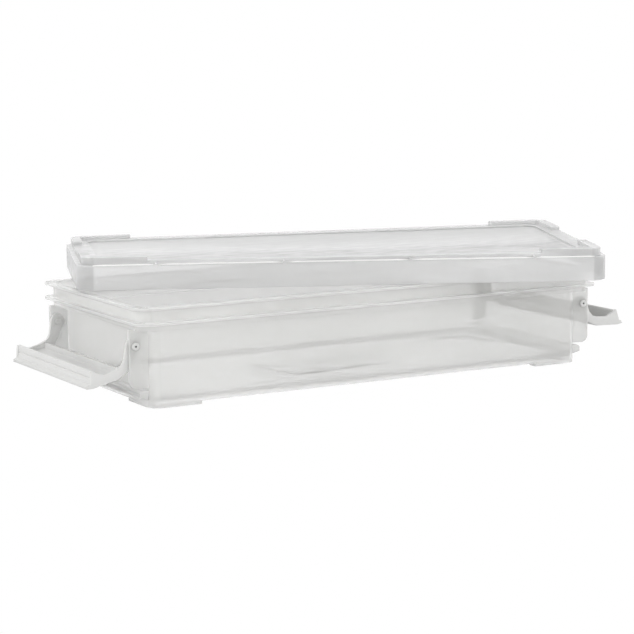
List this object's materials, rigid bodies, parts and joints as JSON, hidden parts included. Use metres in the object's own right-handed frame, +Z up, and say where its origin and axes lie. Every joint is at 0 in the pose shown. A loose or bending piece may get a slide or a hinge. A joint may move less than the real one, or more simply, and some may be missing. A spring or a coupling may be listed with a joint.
{
  "type": "latch box for cling film",
  "caption": "Long shallow clear plastic box for film with a loose lift-off lid resting askew on its rim and a hinged bail handle at each end.",
  "frame": {"origin": "centre of the tub's footprint, on the surface its feet stand on", "axes": "+Z up, +X along the tub's length towards the right end, +Y towards the back long wall"},
  "size_m": [0.5046, 0.3284, 0.1063],
  "materials": {
    "tub_plastic": "clear polypropylene, slightly milky",
    "lid_plastic": "clear polypropylene, slightly milky",
    "handle_plastic": "satin off-white",
    "pin_steel": "dull",
    "film": "thin crinkled film"
  },
  "bodies": {
    "tub": {"tub": "tub_plastic", "pin_left_front": "pin_steel", "pin_left_back": "pin_steel", "pin_right_front": "pin_steel", "pin_right_back": "pin_steel", "film_sheet": "film"},
    "lid": {"lid": "lid_plastic"},
    "handle_left": {"handle_left": "handle_plastic"},
    "handle_right": {"handle_right": "handle_plastic"}
  },
  "joints": [
    {"name": "lid_lift", "type": "slide", "parent": "tub", "child": "lid", "axis": [0, 0, 1], "range_m": [0, 0.12]},
    {"name": "handle_left_hinge", "type": "hinge", "parent": "tub", "child": "handle_left", "pos_m": [-0.21, 0, 0.0489], "axis": [0, 1, 0], "range_deg": [0, 88]},
    {"name": "handle_right_hinge", "type": "hinge", "parent": "tub", "child": "handle_right", "pos_m": [0.21, 0, 0.0489], "axis": [0, -1, 0], "range_deg": [-12.5, 56]}
  ]
}
